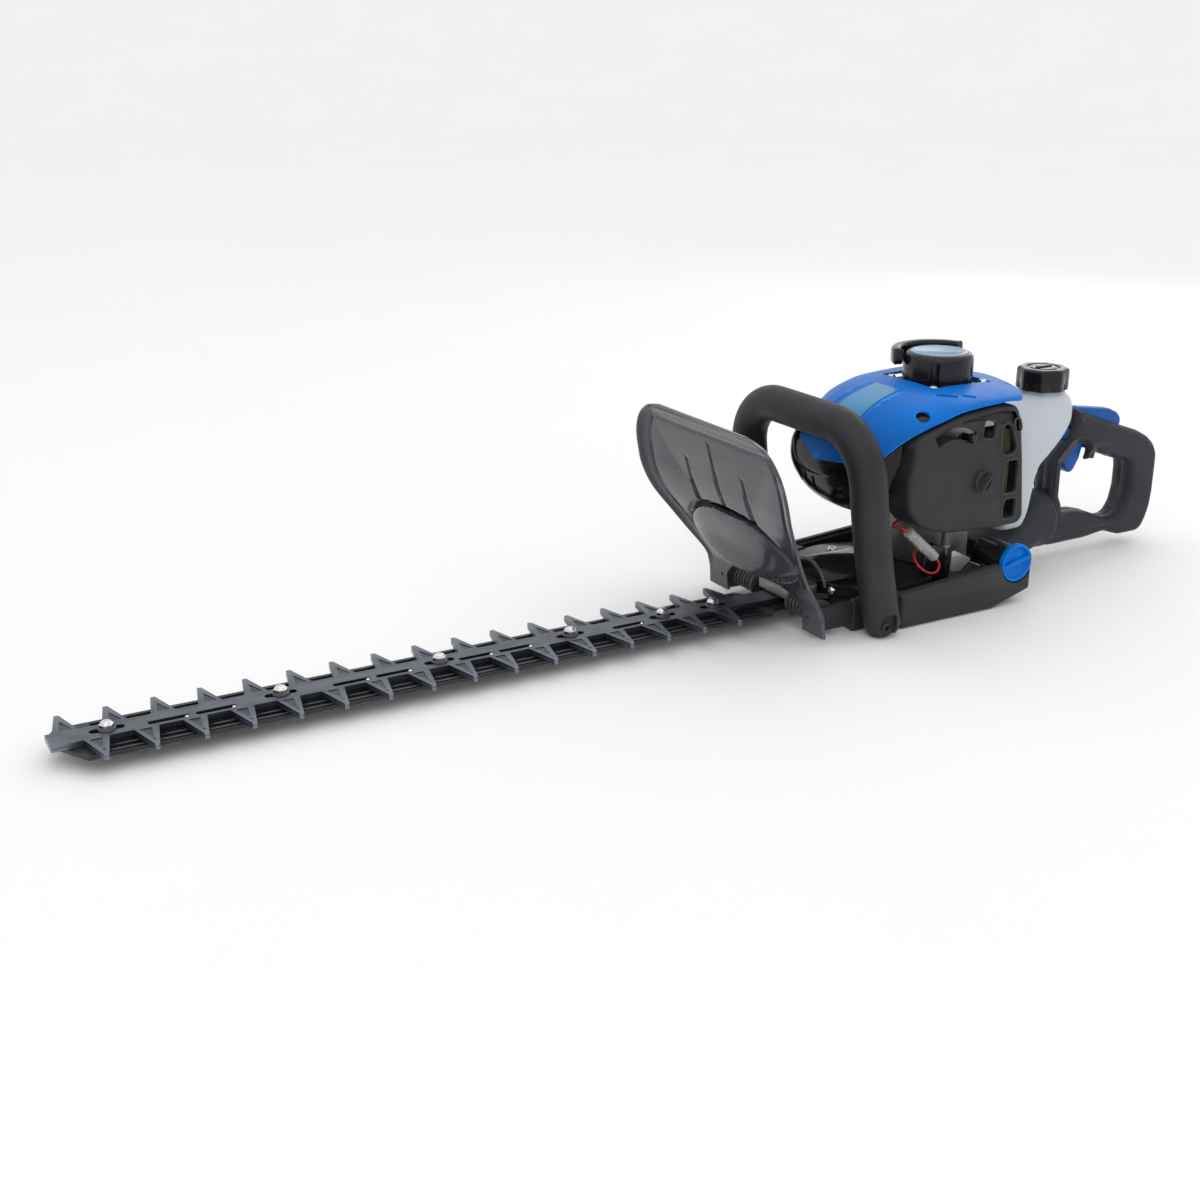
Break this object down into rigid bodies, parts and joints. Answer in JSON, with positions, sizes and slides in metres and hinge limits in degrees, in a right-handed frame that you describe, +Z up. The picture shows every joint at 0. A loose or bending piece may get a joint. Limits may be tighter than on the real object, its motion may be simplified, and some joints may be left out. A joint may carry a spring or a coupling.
{
  "type": "hedge trimmer",
  "caption": "Petrol hedge trimmer: long double-sided cutter, tall front guard, loop front handle, cowled engine and swivelling rear D-handle.",
  "frame": {"origin": "middle of the whole machine's box in plan, on the flat underside of the base frame, at the level of the ground it stands on", "axes": "+X runs from the blade tip to the rear handle, +Y is the machine's right-hand side, +Z is up, out of the recoil starter"},
  "size_m": [1.074, 0.226, 0.222],
  "materials": {
    "blade_steel": "dark satin ground steel",
    "bar_steel": "black stoved finish",
    "zinc": "bright zinc plate",
    "smoke_plastic": "smoke-tinted glossy moulding",
    "dark_plastic": "fine-textured dark grey moulding",
    "blue_plastic": "semi-gloss bright blue moulding",
    "gloss_black": "glossy black",
    "cast_metal": "raw die casting",
    "machined_steel": "machined steel",
    "spring_steel": "black",
    "tank_plastic": "translucent natural white",
    "ceramic": "glazed",
    "filter_foam": "open foam",
    "red_wire": "red insulation",
    "clear_plastic": "milky clear",
    "badge_blue": "plain pale blue disc"
  },
  "bodies": {
    "engine_and_base": {"av_spring_left": "spring_steel", "av_spring_right": "spring_steel", "bar_bolt_1": "zinc", "bar_bolt_2": "zinc", "bar_bolt_3": "zinc", "bar_bolt_4": "zinc", "bar_bolt_5": "zinc", "bar_bolt_6": "zinc", "base_frame": "dark_plastic", "blade_clamp_block": "cast_metal", "blade_guide_bar": "bar_steel", "carburettor": "cast_metal", "clutch_housing": "cast_metal", "crankcase": "cast_metal", "cylinder": "cast_metal", "engine_cowl": "blue_plastic", "filter_cover": "dark_plastic", "filter_element": "filter_foam", "front_guard": "smoke_plastic", "front_handle": "dark_plastic", "front_shroud": "gloss_black", "fuel_tank": "tank_plastic", "gear_case_cover": "gloss_black", "gear_case_lower": "gloss_black", "ignition_coil": "gloss_black", "muffler": "cast_metal", "muffler_cover": "dark_plastic", "rear_plug_left": "blue_plastic", "rear_plug_right": "blue_plastic", "rear_tube_left": "gloss_black", "rear_tube_right": "gloss_black", "spark_plug": "ceramic", "starter_badge": "badge_blue", "starter_housing": "gloss_black", "stop_wire_lower": "red_wire", "stop_wire_upper": "red_wire", "swivel_mount": "dark_plastic", "swivel_pin": "machined_steel", "wire_connector": "clear_plastic"},
    "upper_blade": {"upper_blade": "blade_steel"},
    "lower_blade": {"lower_blade": "blade_steel"},
    "drive_gear": {"drive_gear": "machined_steel"},
    "clutch_drum": {"clutch_drum": "machined_steel"},
    "crank": {"crank_lower": "machined_steel", "crank_upper": "machined_steel", "flywheel": "cast_metal", "clutch_rotor": "cast_metal"},
    "piston": {"piston": "machined_steel", "connecting_rod": "machined_steel"},
    "recoil_pulley": {"recoil_pulley": "dark_plastic"},
    "starter_grip": {"starter_grip": "dark_plastic"},
    "choke_lever": {"choke_lever": "gloss_black"},
    "filter_knob": {"filter_knob": "dark_plastic"},
    "fuel_cap": {"fuel_cap": "gloss_black"},
    "rear_handle": {"rear_handle_left": "dark_plastic", "rear_handle_right": "dark_plastic"},
    "trigger": {"trigger": "blue_plastic"},
    "lockout_lever": {"lockout_lever": "blue_plastic"}
  },
  "joints": [
    {"name": "upper_blade_stroke", "type": "slide", "parent": "engine_and_base", "child": "upper_blade", "axis": [1, 0, 0], "range_m": [-0.00875, 0.00875]},
    {"name": "lower_blade_stroke", "type": "slide", "parent": "engine_and_base", "child": "lower_blade", "axis": [1, 0, 0], "range_m": [-0.00875, 0.00875]},
    {"name": "drive_gear_spin", "type": "hinge", "parent": "engine_and_base", "child": "drive_gear", "pos_m": [0.181, 0, 0.024], "axis": [0, 0, 1], "continuous": true},
    {"name": "clutch_drum_spin", "type": "hinge", "parent": "engine_and_base", "child": "clutch_drum", "pos_m": [0.253, 0, 0.024], "axis": [0, 0, 1], "continuous": true},
    {"name": "crank_spin", "type": "hinge", "parent": "engine_and_base", "child": "crank", "pos_m": [0.253, 0, 0.12], "axis": [0, 0, 1], "continuous": true},
    {"name": "piston_stroke", "type": "slide", "parent": "engine_and_base", "child": "piston", "axis": [1, 0, 0], "range_m": [0, 0.028]},
    {"name": "starter_pull", "type": "slide", "parent": "engine_and_base", "child": "starter_grip", "axis": [0, 1, 0], "range_m": [0, 0.7], "stiffness_N_per_m": 12, "springref_m": -0.15},
    {"name": "recoil_pulley_spin", "type": "hinge", "parent": "engine_and_base", "child": "recoil_pulley", "pos_m": [0.253, 0, 0.201], "axis": [0, 0, 1], "range_deg": [0, 1824]},
    {"name": "choke_swing", "type": "hinge", "parent": "engine_and_base", "child": "choke_lever", "pos_m": [0.208, -0.07, 0.13], "axis": [0, 1, 0], "range_deg": [-50, 0]},
    {"name": "filter_knob_turn", "type": "hinge", "parent": "engine_and_base", "child": "filter_knob", "pos_m": [0.242, -0.082, 0.12], "axis": [0, 1, 0], "range_deg": [0, 90]},
    {"name": "fuel_cap_turn", "type": "hinge", "parent": "engine_and_base", "child": "fuel_cap", "pos_m": [0.382, 0, 0.18], "axis": [0, 0, 1], "continuous": true},
    {"name": "rear_handle_swivel", "type": "hinge", "parent": "engine_and_base", "child": "rear_handle", "pos_m": [0.392, 0, 0.044], "axis": [1, 0, 0], "range_deg": [-90, 90]},
    {"name": "trigger_pull", "type": "hinge", "parent": "rear_handle", "child": "trigger", "pos_m": [0.421, 0, 0.126], "axis": [0, 1, 0], "range_deg": [-14, 0], "stiffness_Nm_per_rad": 0.3, "springref_deg": 34.38},
    {"name": "lockout_press", "type": "hinge", "parent": "rear_handle", "child": "lockout_lever", "pos_m": [0.429, 0, 0.142], "axis": [0, 1, 0], "range_deg": [0, 4.5], "stiffness_Nm_per_rad": 0.5, "springref_deg": -22.92}
  ],
  "couplings": [
    {"joint": "lower_blade_stroke", "follows": "upper_blade_stroke", "ratio": -1},
    {"joint": "clutch_drum_spin", "follows": "drive_gear_spin", "ratio": -4},
    {"joint": "recoil_pulley_spin", "follows": "starter_pull", "rad_per_m": 45.455}
  ]
}
